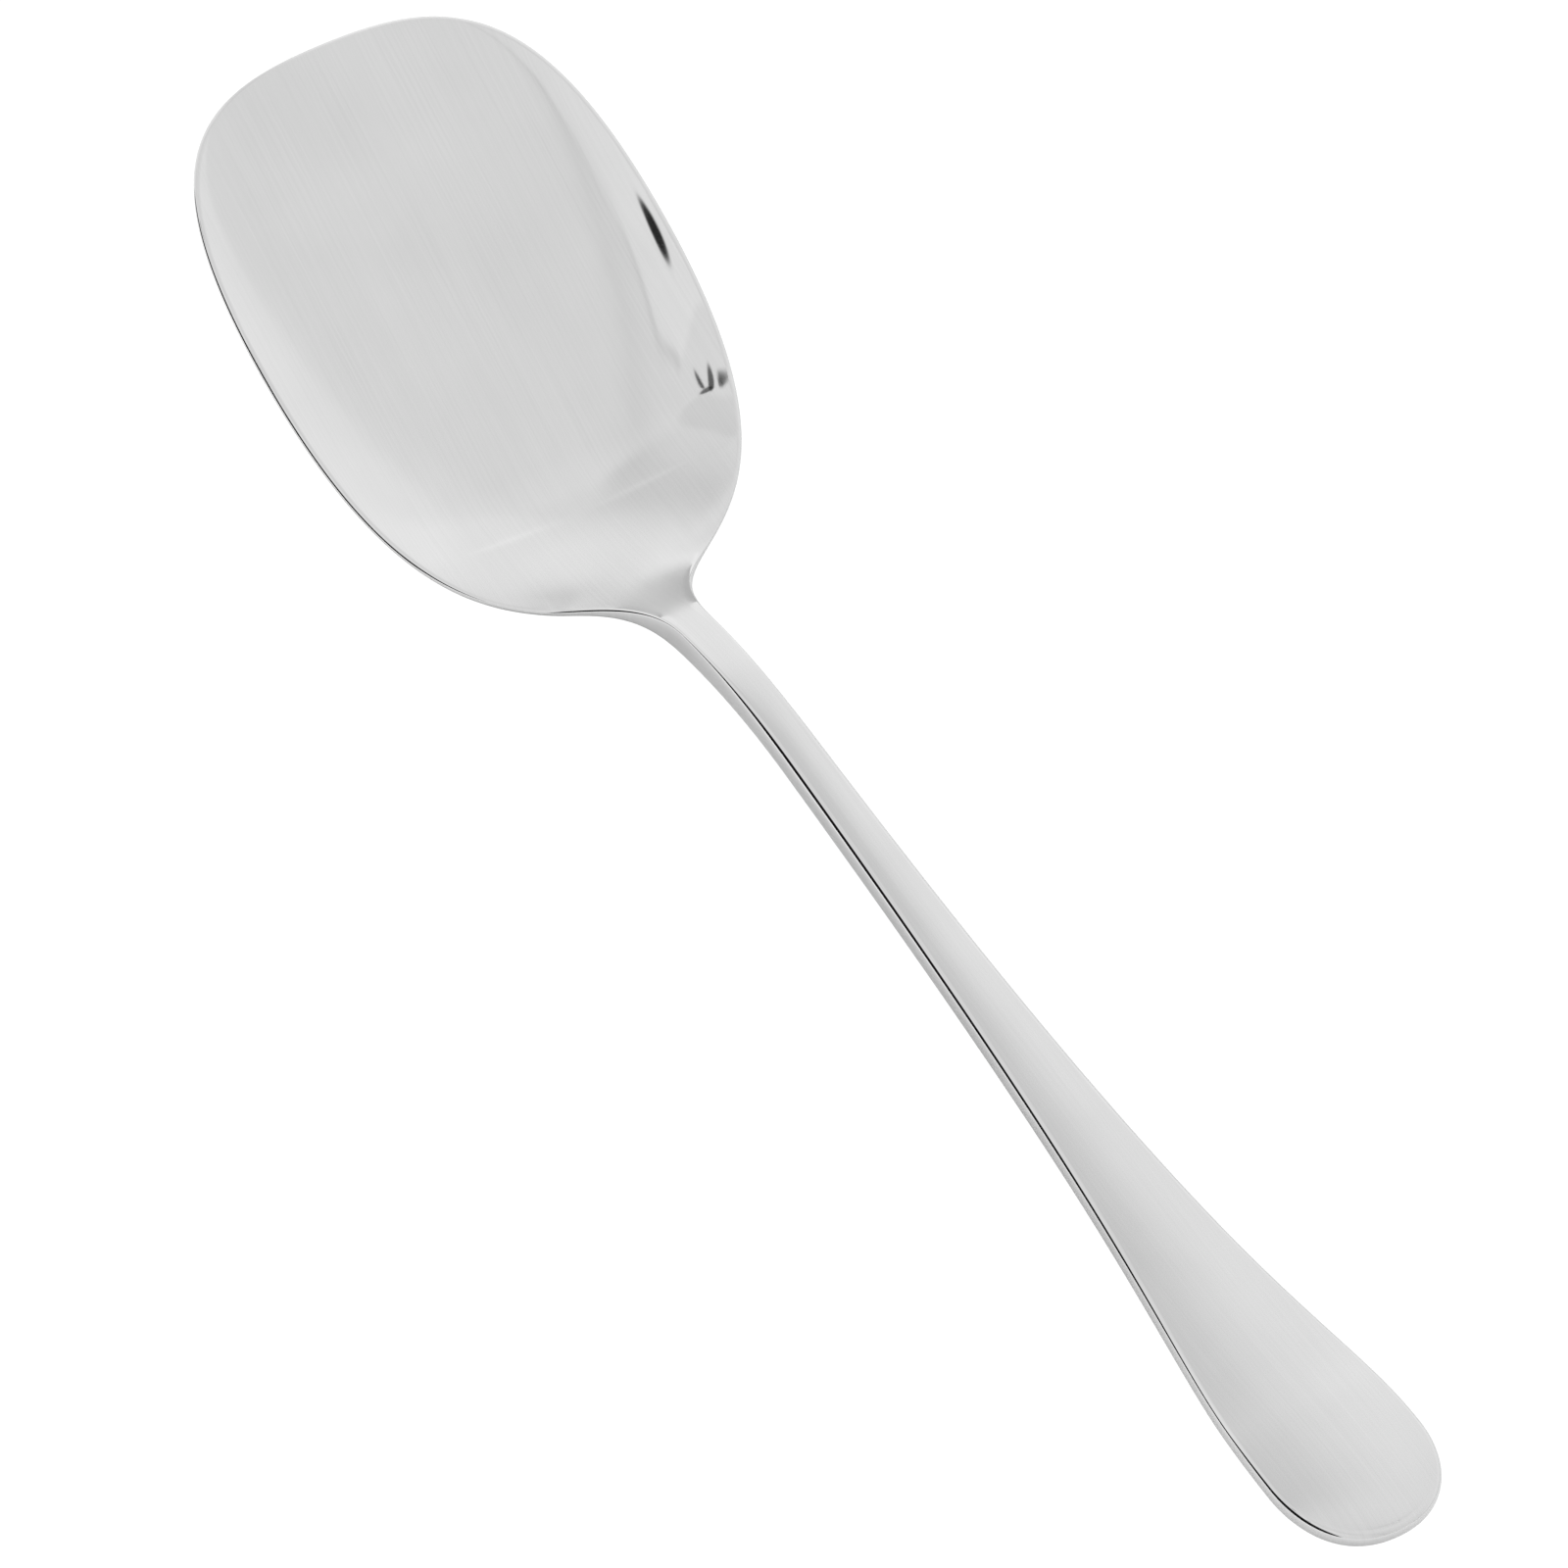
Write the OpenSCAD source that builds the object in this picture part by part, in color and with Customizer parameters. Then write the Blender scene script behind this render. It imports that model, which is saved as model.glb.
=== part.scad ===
// Serving spatula, pressed from one piece of stainless steel.
// A shallow dish with an open front, a narrow neck that climbs out of its back, and a flat handle
// that widens to a round end. The spatula lies on a table on its heel and the back of its handle.
// The sizes are given in the frame of the blade: x runs back from the front edge, z up from the rim.

/* [Blade] */
// Width of the blade at its widest
blade_w = 55.6; // [46:0.2:66]
// Distance from the front edge to the widest place
blade_wide_at = 35.6; // [34:0.2:42]
// Length that the front edge runs across before its corner turns
front_run = 17; // [10:0.1:22]
// Length that the side runs forward from the widest place before the corner turns
side_run = 31.6; // [24:0.2:34]
// Length that the side runs back from the widest place before the shoulder turns
shoulder_run = 49.8; // [40:0.2:53]
// Thickness of the blade
blade_t = 1; // [0.6:0.1:1.6]

/* [Dish] */
// Depth of the floor under the rim at the heel
dish_depth = 4.8; // [2.4:0.2:6.4]
// Distance from the front edge to the heel, where the floor turns up
heel_at = 58; // [52:0.5:64]
// Width of the wall behind the heel, between the floor and the rim: it grows from nothing at the front
wall_w = 17; // [11:0.5:20]
// Softness of the place where the wall stops growing wider
wall_turn = 0.2; // [0.05:0.05:0.4]
// Distance from the front edge to where the sides of the floor start to round in
floor_round_at = 46; // [36:0.5:50]
// Distance from the front edge to the back of the rounded floor
floor_end = 66; // [62:0.5:72]
// Share of the wall that is a fillet along the floor
wall_fillet = 0.9; // [0.2:0.05:1]
// Softness of the turn where the rim runs up into the neck
rim_blend = 1.6; // [0.4:0.1:2.4]

/* [Neck] */
// Width of the neck at its narrowest
neck_w = 5.1; // [4.2:0.1:8]
// Distance from the front edge to the narrowest place
neck_at = 90.1; // [88:0.1:96]
// Length that the neck runs forward from its narrowest place before it spreads
neck_run = 19.6; // [14:0.2:24]
// Thickness of the neck at its narrowest
neck_t = 3.5; // [2.4:0.1:4.6]
// Distance from the front edge to where the sheet starts to thicken into the neck
swell_at = 78; // [68:0.5:82]
// Distance from the front edge to where the rim turns up into the neck
throat_at = 78; // [75:0.5:80]
// Height of the rim there
throat_h = 1.1; // [0:0.1:2]
// Slope of the rim there, in degrees
throat_slope = 48; // [42:1:56]
// Height of the neck at its narrowest
neck_h = 11.1; // [10:0.1:13]
// Slope of the neck at its narrowest, in degrees
neck_slope = 32; // [25:0.5:37]

/* [Handle] */
// Length from the front edge to the end of the handle, along the blade
length = 233.3; // [226:0.1:246]
// Length that the shaft runs back from the neck before it widens
shaft_run = 107; // [70:1:115]
// Width of the handle at its widest
grip_w = 20.6; // [15:0.2:27]
// Distance from the widest place of the handle to its end
end_run = 11.3; // [9:0.1:16]
// Length that the side runs back from the widest place before the end rounds in
end_side_run = 5.2; // [4:0.1:9]
// Length that the end runs across before it rounds into the side
end_across_run = 7.7; // [4:0.1:10]
// Length that the grip runs forward from its widest place before it narrows
grip_run = 22; // [8:0.2:30]
// Thickness of the handle at its end
end_t = 2.2; // [1.4:0.1:3]
// Slope of the crown along the top of the handle where it meets the edges, in degrees
crown_slope = 6.5; // [0:0.5:10]
// Distance from the front edge to where the neck's climb has eased off
shaft_at = 112; // [106:0.5:118]
// Height of the shaft there
shaft_h = 20.4; // [18:0.1:23]
// Slope of the shaft there, in degrees
shaft_slope = 16; // [12:0.1:20]
// Distance from the front edge to the front of the grip
grip_at = 186; // [180:0.5:192]
// Height of the grip there
grip_h = 42.7; // [38:0.1:46]
// Slope of the grip there, in degrees
grip_slope = 17.9; // [14:0.1:22]
// Distance from the front edge to the grip's highest rise
rise_at = 214; // [208:0.5:216]
// Height of the grip there
rise_h = 53.4; // [51:0.1:57]
// Slope of the grip there, in degrees
rise_slope = 25.1; // [18:0.1:28]
// Height of the handle's end
end_h = 60; // [57:0.1:62]
// Slope of the handle's end, in degrees
end_slope = 11.2; // [0:0.2:16]

/* [Edges] */
// Roundness of the blade's edge: 1 is a half circle, higher comes to a finer edge
blade_edge = 1.25; // [0.8:0.05:1.4]
// Roundness of the edges of the neck and the handle: lower is squarer
handle_edge = 0.7; // [0.5:0.05:1]
// Run of the rounded edge in from the sides of the handle
edge_run = 1.3; // [0.8:0.1:1.8]
// Depth that the underside of the floor is ground flat
grind = 0.03; // [0.02:0.01:0.06]

/* [Hidden] */

// Steps along each stretch of the outline, across half of the top, and round the edge
OUTLINE_STEPS = [16, 28, 26, 10];
// How closely the sections gather at the start of each stretch
GATHER = [1, 1, 1.6, 1];
HALF_STEPS = 9;
EDGE_STEPS = 6;
// Distance over which a surface slope is measured
probe = 0.05;

// Half of the outline, as four curves with their ends and handles
grip_wide_at = length - end_run;
OUTLINE = [
    [[0, 0], [0, front_run], [blade_wide_at - side_run, blade_w / 2], [blade_wide_at, blade_w / 2]],
    [[blade_wide_at, blade_w / 2], [blade_wide_at + shoulder_run, blade_w / 2],
     [neck_at - neck_run, neck_w / 2], [neck_at, neck_w / 2]],
    [[neck_at, neck_w / 2], [neck_at + shaft_run, neck_w / 2],
     [grip_wide_at - grip_run, grip_w / 2], [grip_wide_at, grip_w / 2]],
    [[grip_wide_at, grip_w / 2], [grip_wide_at + end_side_run, grip_w / 2],
     [length, end_across_run], [length, 0]],
];

// The line of the rim from the throat to the handle's end: distance, height and slope at each named place
RIM_LINE = [
    [throat_at, throat_h, tan(throat_slope)],
    [neck_at, neck_h, tan(neck_slope)],
    [shaft_at, shaft_h, tan(shaft_slope)],
    [grip_at, grip_h, tan(grip_slope)],
    [rise_at, rise_h, tan(rise_slope)],
    [length, end_h, tan(end_slope)],
];
// The heel in the same form: from here the middle of the dish climbs straight to the neck
HEEL = [heel_at, -dish_depth, -dish_depth / heel_at];

function clamp(t) = min(1, max(0, t));
function ease(t) = let (u = clamp(t)) u * u * (3 - 2 * u);
function mix(a, b, t) = a + (b - a) * t;
function curve(p, t) =
    (1 - t)^3 * p[0] + 3 * (1 - t)^2 * t * p[1] + 3 * (1 - t) * t^2 * p[2] + t^3 * p[3];
function curve_way(p, t) =
    (1 - t)^2 * (p[1] - p[0]) + 2 * (1 - t) * t * (p[2] - p[1]) + t^2 * (p[3] - p[2]);
function unit(v) = v / norm(v);

// Outline points with their outward directions, from the front edge to the handle's end
STATIONS = [
    for (s = [0:len(OUTLINE) - 1], k = [0:OUTLINE_STEPS[s] - (s == len(OUTLINE) - 1 ? 0 : 1)])
        let (t = (k / OUTLINE_STEPS[s])^GATHER[s], way = unit(curve_way(OUTLINE[s], t)))
        [curve(OUTLINE[s], t), [-way.y, way.x]]
];
WIDTHS = [for (s = STATIONS) s[0]];

// Height between two places of a line, as a cubic that keeps both slopes
function span_height(a, b, x) =
    let (run = b[0] - a[0], t = (x - a[0]) / run)
    a[1] * (2 * t^3 - 3 * t^2 + 1) + run * a[2] * (t^3 - 2 * t^2 + t)
    + b[1] * (3 * t^2 - 2 * t^3) + run * b[2] * (t^3 - t^2);
function rim_line(x, i = 0) =
    x < throat_at ? throat_h + tan(throat_slope) * (x - throat_at)
    : i == len(RIM_LINE) - 2 || x < RIM_LINE[i + 1][0] ? span_height(RIM_LINE[i], RIM_LINE[i + 1], x)
    : rim_line(x, i + 1);

// Heights of the middle and of the rim, and the half width of the flat floor
function middle(x) =
    x < heel_at ? -dish_depth * x / heel_at
    : x < neck_at ? span_height(HEEL, RIM_LINE[1], x)
    : rim_line(x);
function rim(x) =
    let (soft = rim_blend * (1 - ease((x - throat_at) / (neck_at - throat_at))), m = rim_line(x))
    x < neck_at ? (m + sqrt(m * m + soft * soft)) / 2 : m;
function wall_width(x) =
    let (t = max(0, x) / heel_at)
    wall_w * max(0, (t + 1 - sqrt((t - 1)^2 + wall_turn^2)) / 2);
function floor_half(x) =
    let (u = clamp((x - floor_round_at) / (floor_end - floor_round_at)))
    max(0, lookup(x, WIDTHS) - wall_width(x)) * sqrt(1 - u * u);
function wall(t) =
    let (u = clamp(t))
    (u < wall_fillet ? u * u / (2 * wall_fillet) : u - wall_fillet / 2) / (1 - wall_fillet / 2);

// Height and upward direction of the surface halfway through the metal
function sheet(x, y) =
    let (inner = floor_half(x), outer = max(lookup(x, WIDTHS), inner + probe))
    mix(middle(x), rim(x), wall((abs(y) - inner) / (outer - inner)));
function slope_x(x, y) = (sheet(x + probe, y) - sheet(x - probe, y)) / (2 * probe);
function slope_y(x, y) = (sheet(x, y + probe) - sheet(x, y - probe)) / (2 * probe);
function upward(x, y) = unit([-slope_x(x, y), -slope_y(x, y), 1]);

// Thickness, and the height of the crown on the top
function thickness(x) =
    x < neck_at
        ? mix(blade_t, neck_t, ease((x - swell_at) / (neck_at - swell_at)))
        : mix(neck_t, end_t, ease((x - neck_at) / (length - neck_at)));
function crown_height(x, half_width) =
    half_width * tan(crown_slope) / 2 * ease((x - neck_at) / (shaft_at - neck_at));

// The edge runs out from the last flat place of the section: a short way on the blade and the neck
function edge_reach(x) =
    min(thickness(x) / 2, mix(blade_t / 2, edge_run, ease((x - neck_at) / (shaft_at - neck_at))));
function edge_power(x) = mix(blade_edge, handle_edge, ease((x - heel_at) / (throat_at - heel_at)));
function edge_centre(s) = s[0] - s[1] * edge_reach(s[0].x);
function edge_point(s, side, angle) =
    let (c = edge_centre(s),
         half = thickness(s[0].x) / 2,
         power = edge_power(s[0].x),
         out = [s[1].x, side * s[1].y],
         y = side * c.y,
         climb = slope_x(c.x, y) * out.x + slope_y(c.x, y) * out.y,
         rise = sign(sin(angle)) * abs(sin(angle))^power)
    [c.x, y, sheet(c.x, y)]
    + edge_reach(s[0].x) * cos(angle)^power * unit([out.x, out.y, climb])
    + half * rise * upward(c.x, y);
function face_point(s, share, top) =
    let (c = edge_centre(s),
         y = share * c.y,
         half = thickness(s[0].x) / 2 + (top ? crown_height(c.x, c.y) * (1 - share * share) : 0))
    [c.x, y, sheet(c.x, y)] + (top ? half : -half) * upward(c.x, y);

// One ring of points round the section: over the top, round one edge, back underneath, round the other
SHARES = [for (k = [-HALF_STEPS:HALF_STEPS]) sin(90 * k / HALF_STEPS)];
ANGLES = [for (k = [1:EDGE_STEPS - 1]) 90 - 180 * k / EDGE_STEPS];
function ring(s) = concat(
    [for (share = SHARES) face_point(s, share, true)],
    [for (angle = ANGLES) edge_point(s, 1, angle)],
    [for (share = SHARES) face_point(s, -share, false)],
    [for (angle = ANGLES) edge_point(s, -1, -angle)]
);
// The front and the end close on a single arc of the edge
function cap(s) = concat(
    [face_point(s, 0, true)],
    [for (angle = ANGLES) edge_point(s, 1, angle)],
    [face_point(s, 0, false)]
);

last = len(STATIONS) - 1;
RING = 2 * len(SHARES) + 2 * len(ANGLES);
CAP = EDGE_STEPS + 1;
BODY = concat(
    cap(STATIONS[0]),
    [for (i = [1:last - 1]) each ring(STATIONS[i])],
    cap(STATIONS[last])
);

// Number of a ring's point in the whole list, with the caps shared by both sides
function cap_place(j) =
    j < len(SHARES) ? 0
    : j < len(SHARES) + len(ANGLES) ? j - len(SHARES) + 1
    : j < RING - len(ANGLES) ? CAP - 1
    : RING - j;
function place(i, j) =
    i == 0 ? cap_place(j)
    : i == last ? CAP + (last - 1) * RING + cap_place(j)
    : CAP + (i - 1) * RING + j;
function on_left(j) = j < HALF_STEPS || j >= len(SHARES) + len(ANGLES) + HALF_STEPS;
function triangle(a, b, c) = a == b || b == c || c == a ? [] : [[a, b, c]];
FACES = [
    for (i = [0:last - 1], j = [0:RING - 1])
        let (k = (j + 1) % RING, a = place(i, j), b = place(i, k), c = place(i + 1, k), d = place(i + 1, j))
        each on_left(j)
            ? concat(triangle(a, b, d), triangle(b, c, d))
            : concat(triangle(a, b, c), triangle(a, c, d))
];

// The line of the table under the blade and the handle, found by halving
function reach_down(grade, front) =
    min([for (p = BODY) if ((p.x < neck_at) == front) p.z - grade * p.x]);
function table_grade(low = 0, high = 1, n = 40) =
    let (half = (low + high) / 2)
    n == 0 ? half
    : reach_down(half, false) > reach_down(half, true) ? table_grade(half, high, n - 1)
    : table_grade(low, half, n - 1);
lean = atan(table_grade());

// Turns a point onto the table
function laid(p) = [p.x * cos(lean) + p.z * sin(lean), p.y, p.z * cos(lean) - p.x * sin(lean)];
LAID = [for (p = BODY) laid(p)];
shift = -[(min([for (p = LAID) p.x]) + max([for (p = LAID) p.x])) / 2, 0, min([for (p = LAID) p.z])];

// Block under the floor of the dish, which grinds the underside flat
module grinding_block() {
    size = 2 * length;
    floor_lean = atan(dish_depth / heel_at);
    translate(shift)
        rotate([0, lean + floor_lean, 0])
            translate([-size / 2, -size / 2, grind - blade_t / 2 - size])
                cube(size);
}

module spatula() {
    color("silver")
        difference() {
            polyhedron(points = [for (p = LAID) p + shift], faces = FACES, convexity = 6);
            grinding_block();
        }
}

spatula();
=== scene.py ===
# Serving spatula pressed from one piece of stainless steel, lying on a pale table in soft studio light.
import math

import bmesh
import bpy
import numpy as np
from mathutils import Matrix


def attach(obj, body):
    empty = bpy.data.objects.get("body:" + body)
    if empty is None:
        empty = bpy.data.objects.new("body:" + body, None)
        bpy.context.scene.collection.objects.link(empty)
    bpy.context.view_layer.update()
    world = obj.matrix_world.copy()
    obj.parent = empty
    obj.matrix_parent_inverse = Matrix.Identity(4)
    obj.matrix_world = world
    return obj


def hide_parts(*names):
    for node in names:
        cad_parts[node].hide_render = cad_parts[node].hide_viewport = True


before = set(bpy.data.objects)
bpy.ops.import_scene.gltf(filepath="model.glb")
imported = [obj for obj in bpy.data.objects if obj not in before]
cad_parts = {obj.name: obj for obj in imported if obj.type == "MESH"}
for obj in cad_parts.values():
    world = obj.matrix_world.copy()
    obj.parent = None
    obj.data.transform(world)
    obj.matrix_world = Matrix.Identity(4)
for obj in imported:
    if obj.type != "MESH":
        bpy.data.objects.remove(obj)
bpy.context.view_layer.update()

# Sizes in millimetres and degrees, in the blade's frame: x runs back from the front edge, z up from the rim
BLADE_W, BLADE_WIDE_AT, BLADE_T = 55.6, 35.6, 1.0
FRONT_RUN, SIDE_RUN, SHOULDER_RUN = 17.0, 31.6, 49.8
DISH_DEPTH, HEEL_AT, FLOOR_ROUND_AT, FLOOR_END = 4.8, 58.0, 46.0, 66.0
WALL_W, WALL_FILLET, WALL_TURN, RIM_BLEND = 17.0, 0.9, 0.2, 1.6
NECK_W, NECK_AT, NECK_RUN, NECK_T, SWELL_AT = 5.1, 90.1, 19.6, 3.5, 78.0
LENGTH, SHAFT_RUN, GRIP_W, GRIP_RUN = 233.3, 107.0, 20.6, 22.0
END_RUN, END_SIDE_RUN, END_ACROSS_RUN, END_T = 11.3, 5.2, 7.7, 2.2
THROAT_AT, THROAT_H, THROAT_SLOPE = 78.0, 1.1, 48.0
NECK_H, NECK_SLOPE = 11.1, 32.0
SHAFT_AT, SHAFT_H, SHAFT_SLOPE = 112.0, 20.4, 16.0
GRIP_AT, GRIP_H, GRIP_SLOPE = 186.0, 42.7, 17.9
RISE_AT, RISE_H, RISE_SLOPE = 214.0, 53.4, 25.1
END_H, END_SLOPE = 60.0, 11.2
CROWN_SLOPE, BLADE_EDGE, HANDLE_EDGE, EDGE_RUN = 6.5, 1.25, 0.7, 1.3

# Steps along each stretch of the outline and how they gather, across half of the top, and round the edge
OUTLINE_STEPS = (64, 150, 130, 44)
GATHER = (1.0, 1.0, 1.6, 1.0)
HALF_STEPS = 40
EDGE_STEPS = 16
HALVINGS = 40
WELD = 2e-7

GRIP_WIDE_AT = LENGTH - END_RUN
OUTLINE = np.array([
    [[0, 0], [0, FRONT_RUN], [BLADE_WIDE_AT - SIDE_RUN, BLADE_W / 2], [BLADE_WIDE_AT, BLADE_W / 2]],
    [[BLADE_WIDE_AT, BLADE_W / 2], [BLADE_WIDE_AT + SHOULDER_RUN, BLADE_W / 2],
     [NECK_AT - NECK_RUN, NECK_W / 2], [NECK_AT, NECK_W / 2]],
    [[NECK_AT, NECK_W / 2], [NECK_AT + SHAFT_RUN, NECK_W / 2],
     [GRIP_WIDE_AT - GRIP_RUN, GRIP_W / 2], [GRIP_WIDE_AT, GRIP_W / 2]],
    [[GRIP_WIDE_AT, GRIP_W / 2], [GRIP_WIDE_AT + END_SIDE_RUN, GRIP_W / 2],
     [LENGTH, END_ACROSS_RUN], [LENGTH, 0]],
], float)
PROFILE_X = np.array([THROAT_AT, NECK_AT, SHAFT_AT, GRIP_AT, RISE_AT, LENGTH])
PROFILE_Z = np.array([THROAT_H, NECK_H, SHAFT_H, GRIP_H, RISE_H, END_H])
PROFILE_S = np.tan(np.radians([THROAT_SLOPE, NECK_SLOPE, SHAFT_SLOPE, GRIP_SLOPE, RISE_SLOPE, END_SLOPE]))


def ease(t):
    u = np.clip(t, 0, 1)
    return u * u * (3 - 2 * u)


def mix(a, b, t):
    return a + (b - a) * ease(t)


def unit(v):
    return v / np.linalg.norm(v, axis=-1)[..., None]


def outline_points():
    """Points of one half of the outline, from the front edge to the handle's end, and their outward ways."""
    points, outward = [], []
    for i, c in enumerate(OUTLINE):
        last = 1 if i == len(OUTLINE) - 1 else 0
        k = np.arange(OUTLINE_STEPS[i] + last) / OUTLINE_STEPS[i]
        t = (k ** GATHER[i])[:, None]
        s = 1 - t
        points.append(s ** 3 * c[0] + 3 * s ** 2 * t * c[1] + 3 * s * t ** 2 * c[2] + t ** 3 * c[3])
        way = unit(s ** 2 * (c[1] - c[0]) + 2 * s * t * (c[2] - c[1]) + t ** 2 * (c[3] - c[2]))
        outward.append(np.stack([-way[:, 1], way[:, 0]], 1))
    return np.vstack(points), np.vstack(outward)


EDGE, OUT = outline_points()


def half_width(x):
    return np.interp(x, EDGE[:, 0], EDGE[:, 1])


def span(t, run, z0, s0, z1, s1):
    """Height along a smooth stretch with given heights and slopes at its ends."""
    return (z0 * (2 * t ** 3 - 3 * t ** 2 + 1) + run * s0 * (t ** 3 - 2 * t ** 2 + t)
            + z1 * (3 * t ** 2 - 2 * t ** 3) + run * s1 * (t ** 3 - t ** 2))


def edge_line(x):
    i = np.clip(np.searchsorted(PROFILE_X, x, side="right") - 1, 0, len(PROFILE_X) - 2)
    run = PROFILE_X[i + 1] - PROFILE_X[i]
    z = span((x - PROFILE_X[i]) / run, run, PROFILE_Z[i], PROFILE_S[i], PROFILE_Z[i + 1], PROFILE_S[i + 1])
    return np.where(x < THROAT_AT, THROAT_H + PROFILE_S[0] * (x - THROAT_AT), z)


def middle(x):
    """Height of the sheet along its middle: down to the heel, up the throat, then along the handle."""
    run = NECK_AT - HEEL_AT
    fall = -DISH_DEPTH / HEEL_AT
    climb = span((x - HEEL_AT) / run, run, -DISH_DEPTH, fall, NECK_H, PROFILE_S[1])
    return np.where(x < HEEL_AT, fall * x, np.where(x < NECK_AT, climb, edge_line(x)))


def rim(x):
    m = edge_line(x)
    soft = RIM_BLEND * (1 - ease((x - THROAT_AT) / (NECK_AT - THROAT_AT)))
    return np.where(x < NECK_AT, (m + np.sqrt(m * m + soft * soft)) / 2, m)


def floor_half(x):
    """Half the width of the dish's flat floor: the walls grow up to the heel, and the floor ends round."""
    u = np.clip((x - FLOOR_ROUND_AT) / (FLOOR_END - FLOOR_ROUND_AT), 0, 1)
    t = np.maximum(0, x) / HEEL_AT
    wall = WALL_W * np.maximum(0, (t + 1 - np.sqrt((t - 1) ** 2 + WALL_TURN ** 2)) / 2)
    return np.maximum(0, half_width(x) - wall) * np.sqrt(1 - u * u)


def wall_share(x, y, least=0.05):
    """Share of the way up the wall: 0 on the floor, 1 at the rim."""
    inner = floor_half(x)
    outer = np.maximum(half_width(x), inner + least)
    return np.clip((np.abs(y) - inner) / (outer - inner), 0, 1)


def sheet(x, y):
    """Height of the middle of the sheet."""
    u = wall_share(x, y)
    f = WALL_FILLET
    w = np.where(u < f, u * u / (2 * f), u - f / 2) / (1 - f / 2)
    m = middle(x)
    return m + (rim(x) - m) * w


def slopes(x, y, probe=0.05):
    return ((sheet(x + probe, y) - sheet(x - probe, y)) / (2 * probe),
            (sheet(x, y + probe) - sheet(x, y - probe)) / (2 * probe))


def upward(x, y):
    sx, sy = slopes(x, y)
    return sx, sy, unit(np.stack([-sx, -sy, np.ones_like(sx)], -1))


def thickness(x):
    blade = mix(BLADE_T, NECK_T, (x - SWELL_AT) / (NECK_AT - SWELL_AT))
    handle = mix(NECK_T, END_T, (x - NECK_AT) / (LENGTH - NECK_AT))
    return np.where(x < NECK_AT, blade, handle)


def section_rings():
    """Rings of points round the steel, one for each point of the outline."""
    on_handle = (EDGE[:, 0] - NECK_AT) / (SHAFT_AT - NECK_AT)
    half = thickness(EDGE[:, 0]) / 2
    reach = np.minimum(half, mix(BLADE_T / 2, EDGE_RUN, on_handle))
    power = mix(BLADE_EDGE, HANDLE_EDGE, (EDGE[:, :1] - HEEL_AT) / (THROAT_AT - HEEL_AT))
    centre = EDGE - OUT * reach[:, None]
    share = np.sin(np.pi / 2 * np.arange(-HALF_STEPS, HALF_STEPS + 1) / HALF_STEPS)
    x = np.repeat(centre[:, :1], len(share), 1)
    y = centre[:, 1:] * share[None]
    up = upward(x, y)[2]
    mid = np.stack([x, y, sheet(x, y)], -1)
    swell = math.tan(math.radians(CROWN_SLOPE)) / 2 * centre[:, 1:]
    crown = swell * ease((x - NECK_AT) / (SHAFT_AT - NECK_AT)) * (1 - share ** 2)[None]
    top = mid + up * (half[:, None] + crown)[..., None]
    under = (mid - up * half[:, None, None])[:, ::-1]
    angle = np.pi / 2 - np.pi * np.arange(1, EDGE_STEPS) / EDGE_STEPS
    arcs = []
    for side, turn in ((1, angle), (-1, -angle)):
        yc = side * centre[:, 1]
        sx, sy, n = upward(centre[:, 0], yc)
        mx, my = OUT[:, 0], side * OUT[:, 1]
        m = unit(np.stack([mx, my, sx * mx + sy * my], -1))
        c = np.stack([centre[:, 0], yc, sheet(centre[:, 0], yc)], -1)
        a = np.abs(np.cos(turn))[None] ** power
        b = np.sign(np.sin(turn))[None] * np.abs(np.sin(turn))[None] ** power
        outward = (reach[:, None] * a)[..., None] * m[:, None]
        arcs.append(c[:, None] + outward + (half[:, None] * b)[..., None] * n[:, None])
    return np.concatenate([top, arcs[0], under, arcs[1]], 1)


rings = section_rings()

# The spatula lies on its heel and the back of its handle: the table's slope is found by halving
points = rings.reshape(-1, 3)
front = points[:, 0] < NECK_AT
low, high = 0.0, 1.0
for _ in range(HALVINGS):
    grade = (low + high) / 2
    above = points[:, 2] - grade * points[:, 0]
    if above[~front].min() > above[front].min():
        low = grade
    else:
        high = grade
LEAN = math.atan((low + high) / 2)
LAY = np.array([[math.cos(LEAN), 0, math.sin(LEAN)], [0, 1, 0], [-math.sin(LEAN), 0, math.cos(LEAN)]])
laid = rings @ LAY.T
SHIFT = -np.array([(laid[..., 0].min() + laid[..., 0].max()) / 2, 0, laid[..., 2].min()])
laid = (laid + SHIFT) / 1000

# The steel body
count, ring = laid.shape[:2]
quads = [(i * ring + j, i * ring + (j + 1) % ring, (i + 1) * ring + (j + 1) % ring, (i + 1) * ring + j)
         for i in range(count - 1) for j in range(ring)]
mesh = bpy.data.meshes.new("spatula_body")
mesh.from_pydata([tuple(p) for p in laid.reshape(-1, 3)], [], quads)
bm = bmesh.new()
bm.from_mesh(mesh)
bmesh.ops.remove_doubles(bm, verts=bm.verts, dist=WELD)
bmesh.ops.recalc_face_normals(bm, faces=bm.faces)
for face in bm.faces:
    face.smooth = True
bm.to_mesh(mesh)
bm.free()
body = bpy.data.objects.new("spatula_body", mesh)
bpy.context.scene.collection.objects.link(body)

# Satin on the floor of the dish and along the handle, most of all in the throat; walls and edges are polished
POLISHED_RIM, SATIN_FADE = 0.6, 1.5
BACK_FROM, BACK_TO = HEEL_AT + 2, THROAT_AT - 4
THROAT_SATIN = 0.5
co = np.empty(len(mesh.vertices) * 3)
mesh.vertices.foreach_get("co", co)
own = (co.reshape(-1, 3) * 1000 - SHIFT) @ LAY
inset = half_width(np.clip(own[:, 0], 0, LENGTH)) - np.abs(own[:, 1])
flat = ease((inset - POLISHED_RIM) / SATIN_FADE)
back = ease((own[:, 0] - BACK_FROM) / (BACK_TO - BACK_FROM))
dish = 1 - ease(wall_share(own[:, 0], own[:, 1]) / WALL_FILLET)
throat = 1 - ease((own[:, 0] - THROAT_AT) / (NECK_AT - THROAT_AT))
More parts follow.
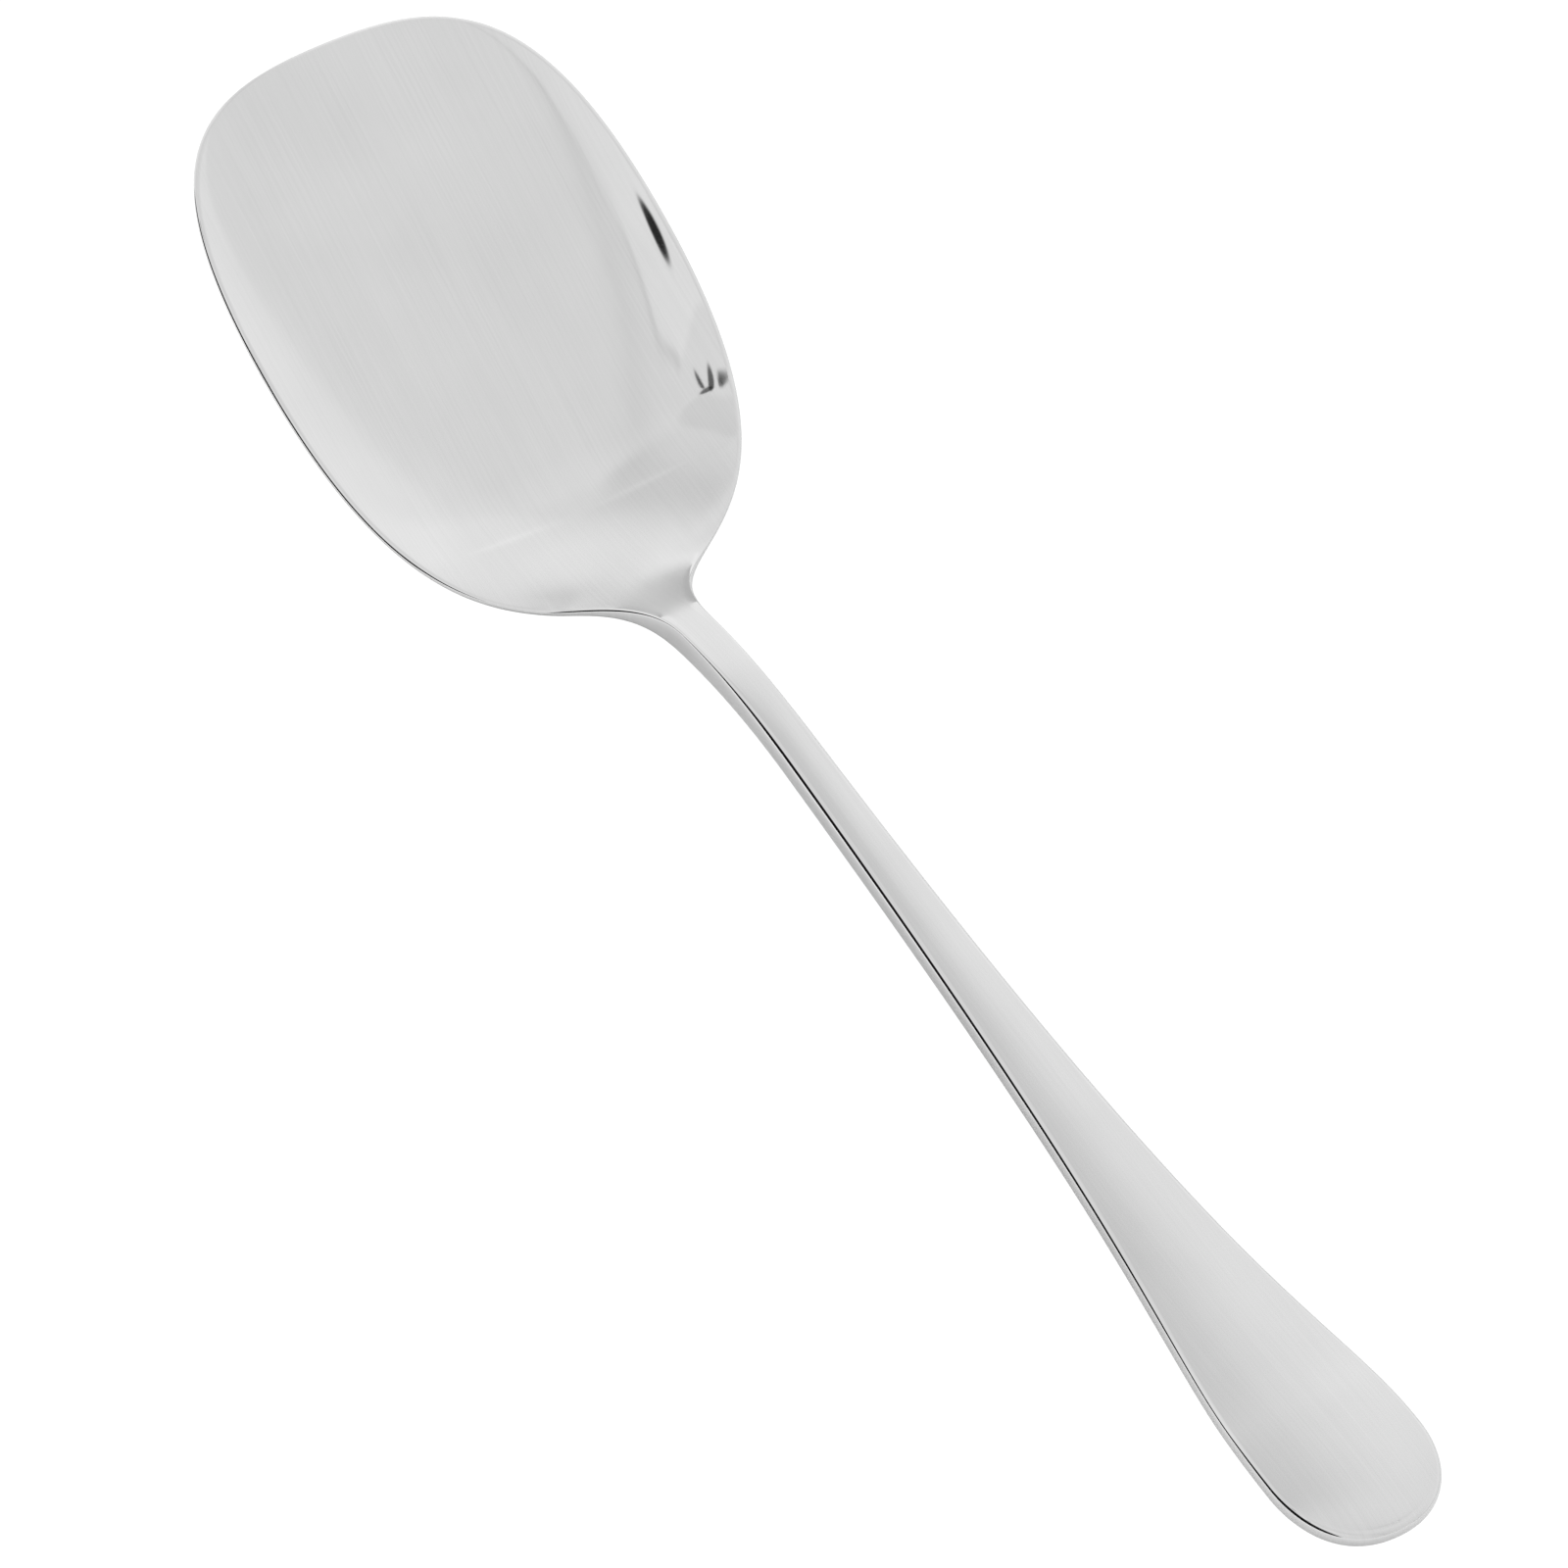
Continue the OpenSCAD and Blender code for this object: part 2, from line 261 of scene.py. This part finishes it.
satin = (1 - back) * dish + back * flat * (1 + THROAT_SATIN * throat)
layer = mesh.attributes.new("satin", "FLOAT", "POINT")
layer.data.foreach_set("value", satin.astype(np.float32))


def node(tree, kind, at, **settings):
    made = tree.nodes.new(kind)
    made.location = at
    for name, value in settings.items():
        setattr(made, name, value)
    return made


# Steel: roughness of its two finishes and of its grain, its tones, and how fine its grain and clouds are
POLISH, SATIN, GRAIN_ROUGHNESS = 0.03, 0.16, 0.015
DARK_STEEL, LIGHT_STEEL = 0.605, 0.655
GRAIN_PER_METRE = (40, 5200, 40)
CLOUDS_PER_METRE = 70.0


def steel_material():
    """Stainless steel with a lengthwise grain and faint clouds."""
    steel = bpy.data.materials.new("stainless_steel")
    steel.use_nodes = True
    tree = steel.node_tree
    link = tree.links.new
    shader = tree.nodes["Principled BSDF"]
    shader.inputs["Metallic"].default_value = 1.0
    shader.inputs["IOR"].default_value = 2.5
    place = node(tree, "ShaderNodeTexCoord", (-1400, 0))
    along = node(tree, "ShaderNodeMapping", (-1200, 0))
    along.inputs["Rotation"].default_value = (0, -LEAN, 0)
    along.inputs["Scale"].default_value = GRAIN_PER_METRE
    link(place.outputs["Object"], along.inputs["Vector"])
    grain = node(tree, "ShaderNodeTexNoise", (-1000, 0))
    grain.inputs["Scale"].default_value = 1.0
    grain.inputs["Detail"].default_value = 3.0
    link(along.outputs["Vector"], grain.inputs["Vector"])
    cloud = node(tree, "ShaderNodeTexNoise", (-1000, -300))
    cloud.inputs["Scale"].default_value = CLOUDS_PER_METRE
    cloud.inputs["Detail"].default_value = 2.0
    link(place.outputs["Object"], cloud.inputs["Vector"])
    finish = node(tree, "ShaderNodeAttribute", (-1000, 300), attribute_name="satin")
    gloss = node(tree, "ShaderNodeMapRange", (-700, 300), clamp=False)
    gloss.inputs["To Min"].default_value = POLISH
    gloss.inputs["To Max"].default_value = SATIN
    link(finish.outputs["Fac"], gloss.inputs["Value"])
    streak = node(tree, "ShaderNodeMath", (-700, 50), operation="MULTIPLY_ADD")
    streak.inputs[1].default_value = GRAIN_ROUGHNESS
    link(grain.outputs["Fac"], streak.inputs[0])
    link(gloss.outputs["Result"], streak.inputs[2])
    link(streak.outputs["Value"], shader.inputs["Roughness"])
    blend = node(tree, "ShaderNodeMath", (-850, -250), operation="ADD", use_clamp=True)
    for i, noise in enumerate((grain, cloud)):
        halved = node(tree, "ShaderNodeMath", (-950, -500 - 150 * i), operation="MULTIPLY")
        halved.inputs[1].default_value = 0.5
        link(noise.outputs["Fac"], halved.inputs[0])
        link(halved.outputs["Value"], blend.inputs[i])
    tint = node(tree, "ShaderNodeValToRGB", (-700, -250))
    for element, position, tone in zip(tint.color_ramp.elements, (0.3, 0.7), (DARK_STEEL, LIGHT_STEEL)):
        element.position = position
        element.color = (tone, tone, tone, 1)
    link(blend.outputs["Value"], tint.inputs["Fac"])
    link(tint.outputs["Color"], shader.inputs["Base Color"])
    return steel


body.data.materials.append(steel_material())
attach(body, "root")
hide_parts("spatula")

# Pale table: the camera sees a nearly shadowless disc, and the steel mirrors a second one with real shadows
# and a painted shadow under the spatula
TABLE_RADIUS, TABLE_DROP = 9, 0.0002
BOUNCE_GLOW = 0.42
# How far the painted shadow under the spatula spreads, as a scale per metre along x and y
SHADE_PER_METRE = (4, 14, 0)


def table_top(name, albedo, glow):
    bpy.ops.mesh.primitive_circle_add(
        vertices=96, radius=TABLE_RADIUS, fill_type="NGON", location=(0, 0, -TABLE_DROP))
    made = bpy.context.object
    made.name = name
    paint = bpy.data.materials.new(name)
    paint.use_nodes = True
    white = paint.node_tree.nodes["Principled BSDF"]
    white.inputs["Base Color"].default_value = (albedo, albedo, albedo, 1)
    white.inputs["Roughness"].default_value = 0.9
    white.inputs["Specular IOR Level"].default_value = 0.0
    white.inputs["Emission Color"].default_value = (1, 1, 1, 1)
    white.inputs["Emission Strength"].default_value = glow
    made.data.materials.append(paint)
    return made


def paint_shadow_under_part(tree):
    """Paints a shadow under the spatula: the table's glow fades to nothing there."""
    link = tree.links.new
    where = node(tree, "ShaderNodeTexCoord", (-900, 0))
    spread = node(tree, "ShaderNodeMapping", (-700, 0))
    spread.inputs["Scale"].default_value = SHADE_PER_METRE
    away = node(tree, "ShaderNodeTexGradient", (-500, 0), gradient_type="SPHERICAL")
    glow = node(tree, "ShaderNodeMapRange", (-300, 0))
    glow.inputs["To Min"].default_value = BOUNCE_GLOW
    glow.inputs["To Max"].default_value = 0.0
    link(where.outputs["Object"], spread.inputs["Vector"])
    link(spread.outputs["Vector"], away.inputs["Vector"])
    link(away.outputs["Fac"], glow.inputs["Value"])
    link(glow.outputs["Result"], tree.nodes["Principled BSDF"].inputs["Emission Strength"])


table = table_top("table", albedo=0.18, glow=0.88)
table.visible_diffuse = False
table.visible_glossy = False
table.visible_transmission = False
table.visible_shadow = False
bounce = table_top("table_bounce", albedo=0.92, glow=BOUNCE_GLOW)
bounce.visible_camera = False
# Painted shadow: the mirrored table's glow fades to nothing under the spatula
paint_shadow_under_part(bounce.data.materials[0].node_tree)

# Light tent: its light depends on the x, y and z of a direction, bright on both sides and quieter overhead
world = bpy.data.worlds.new("light_tent")
bpy.context.scene.world = world
world.use_nodes = True
tent = world.node_tree
link = tent.links.new
way = node(tent, "ShaderNodeTexCoord", (-2000, 0))
split = node(tent, "ShaderNodeSeparateXYZ", (-1800, 0))
link(way.outputs["Generated"], split.inputs["Vector"])
WX, WY, WZ = split.outputs["X"], split.outputs["Y"], split.outputs["Z"]


def join(kind, a, b):
    made = node(tent, "ShaderNodeMath", (-800, 0), operation=kind)
    for value, socket in ((a, made.inputs[0]), (b, made.inputs[1])):
        if isinstance(value, (int, float)):
            socket.default_value = value
        else:
            link(value, socket)
    return made.outputs["Value"]


def times(a, b):
    return join("MULTIPLY", a, b)


def rising(source, low, high, start=0.0, end=1.0):
    made = node(tent, "ShaderNodeMapRange", (-1200, 0), interpolation_type="SMOOTHSTEP")
    for name, value in (("From Min", low), ("From Max", high), ("To Min", start), ("To Max", end)):
        made.inputs[name].default_value = value
    link(source, made.inputs["Value"])
    return made.outputs["Result"]


def falling(source, low, high):
    return rising(source, low, high, 1.0, 0.0)


def between(source, low, high, soft):
    return times(rising(source, low - soft, low + soft), falling(source, high - soft, high + soft))


def ramp(source, low, high, stops):
    """Light by a direction's part, through stops of place and strength."""
    scale = node(tent, "ShaderNodeMapRange", (-1400, 300))
    scale.inputs["From Min"].default_value = low
    scale.inputs["From Max"].default_value = high
    link(source, scale.inputs["Value"])
    made = node(tent, "ShaderNodeValToRGB", (-1200, 300))
    made.color_ramp.interpolation = "EASE"
    while len(made.color_ramp.elements) < len(stops):
        made.color_ramp.elements.new(0.5)
    for element, (place, value) in zip(made.color_ramp.elements, stops):
        element.position = (place - low) / (high - low)
        element.color = (value, value, value, 1)
    link(scale.outputs["Result"], made.inputs["Fac"])
    return made.outputs["Color"]


def dimmed(light, mask, to):
    """The light where mask is 0, and to times the light where mask is 1."""
    return times(light, join("ADD", 1.0, times(mask, to - 1.0)))


def patch(centre, wide, deep, slant, soft=0.5):
    """An oval mask about a direction, by its x and y."""
    across = join("SUBTRACT", WX, centre[0])
    down = join("SUBTRACT", join("SUBTRACT", WY, centre[1]), times(across, slant))
    a = join("DIVIDE", across, wide)
    b = join("DIVIDE", down, deep)
    far = join("ADD", times(a, a), times(b, b))
    return times(falling(far, 1 - soft, 1 + soft), rising(WZ, 0.0, 0.1))


SIDES = [(-1, 1.15), (-0.5, 1.04), (-0.15, 1.02), (0.1, 0.97), (0.22, 1.02), (0.37, 1.055),
         (0.6, 1.06), (0.8, 1.13), (1, 1.14)]
BACK_FALL = -0.11
light = ramp(WY, -1, 1, SIDES)
light = times(light, join("ADD", 1.0, times(WX, BACK_FALL)))

# Toward the front the tent has a quieter part near its middle, and far forward it is a little brighter
QUIET = [(-0.3, 0.97), (0.0, 0.95), (0.11, 0.89), (0.18, 0.845), (0.25, 0.85), (0.33, 0.93),
         (0.38, 0.975), (0.47, 1.03), (1, 1.03)]
past_front = falling(WX, -0.42, -0.24)
quiet = join("SUBTRACT", ramp(WY, -1, 1, QUIET), 1.0)
light = times(light, join("ADD", 1.0, times(past_front, quiet)))
light = dimmed(light, falling(WX, -0.7, -0.58), 1.08)

# A lighter panel overhead on the left, with a thin dark border; the stops give the border's y plus 1
BORDER = [(-0.1, 0.69), (-0.082, 0.711), (0.02, 0.812), (0.089, 0.807), (0.163, 0.921), (0.227, 1.026),
          (0.32, 1.17)]
BORDER_LIGHT, PANEL_LIGHT = 0.87, 1.08
border = join("SUBTRACT", ramp(WX, -0.3, 0.4, BORDER), 1.0)
past = join("SUBTRACT", WY, border)
ends = rising(WX, -0.1, -0.08)
light = dimmed(light, times(ends, between(past, -0.012, 0.03, 0.008)), BORDER_LIGHT)
light = dimmed(light, times(ends, falling(past, -0.02, -0.004)), PANEL_LIGHT)

# On the left a bright strip at the table's level with a dark gap above it; on the right a grey gap
STRIP_LIGHT, LEFT_GAP_LIGHT, RIGHT_GAP_LIGHT = 1.5, 0.01, 0.6
left = falling(WY, -0.66, -0.58)
right = rising(WY, 0.5, 0.6)
light = dimmed(light, times(left, between(WZ, -0.05, 0.06, 0.01)), STRIP_LIGHT)
light = dimmed(light, times(left, between(WZ, 0.06, 0.82, 0.01)), LEFT_GAP_LIGHT)
light = dimmed(light, times(between(WZ, -0.04, 0.1, 0.03), right), RIGHT_GAP_LIGHT)

# Dark things that the right wall mirrors: centre, width, depth, slant and the light that is left
STAND = ((0.02, -0.478), 0.028, 0.034, 0.2, 0.02)
LEFT_PRONG = ((-0.172, -0.363), 0.032, 0.009, 0.2, 0.12)
MIDDLE_PRONG = ((-0.21, -0.41), 0.036, 0.018, -0.57, 0.15)
RIGHT_PRONG = ((-0.238, -0.436), 0.034, 0.006, -0.51, 0.05)
CLIP_ROOT = ((-0.222, -0.372), 0.02, 0.028, 1.1, 0.2)
CLIP_SHADE = ((-0.33, -0.28), 0.12, 0.12, 0.0, 0.92)
SMUDGE = ((0.256, 0.022), 0.014, 0.06, 0.0, 0.85)
for centre, wide, deep, slant, to in (
        STAND, LEFT_PRONG, MIDDLE_PRONG, RIGHT_PRONG, CLIP_ROOT, CLIP_SHADE, SMUDGE):
    light = dimmed(light, patch(centre, wide, deep, slant), to)
link(light, tent.nodes["Background"].inputs["Color"])

# Camera: a long lens that looks down on the blade, placed by one point of it and where the photo shows that
PHOTO_SIZE, FOCAL_PIXELS, PIXELS_PER_MM = 1600, 16000.0, 8.52
AIM_POINT, AIM_PIXEL = np.array([3.41, 0, 1.61]), np.array([345, 63])
AZIMUTH, DIP, ROLL = np.radians([123.43, 63.45, -29.88])
SENSOR = 36
ahead = np.array([math.cos(DIP) * math.cos(AZIMUTH), math.cos(DIP) * math.sin(AZIMUTH), -math.sin(DIP)])
level = np.array([math.sin(AZIMUTH), -math.cos(AZIMUTH), 0])
below = np.cross(ahead, level)
across = math.cos(ROLL) * level + math.sin(ROLL) * below
down = math.cos(ROLL) * below - math.sin(ROLL) * level
from_middle = (AIM_PIXEL - PHOTO_SIZE / 2) / FOCAL_PIXELS
distance = FOCAL_PIXELS / PIXELS_PER_MM
spot = AIM_POINT - distance * (from_middle[0] * across + from_middle[1] * down + ahead)
eye = (LAY @ spot + SHIFT) / 1000
across, down, ahead = LAY @ across, LAY @ down, LAY @ ahead
lens = bpy.data.cameras.new("camera")
lens.sensor_width = SENSOR
lens.lens = SENSOR * FOCAL_PIXELS / PHOTO_SIZE
lens.clip_start, lens.clip_end = 0.05, 50
camera = bpy.data.objects.new("camera", lens)
bpy.context.scene.collection.objects.link(camera)
camera.matrix_world = Matrix([[across[i], -down[i], -ahead[i], eye[i]] for i in range(3)] + [[0, 0, 0, 1]])
bpy.context.scene.camera = camera
bpy.context.scene.view_settings.view_transform = "Standard"

bpy.context.view_layer.update()
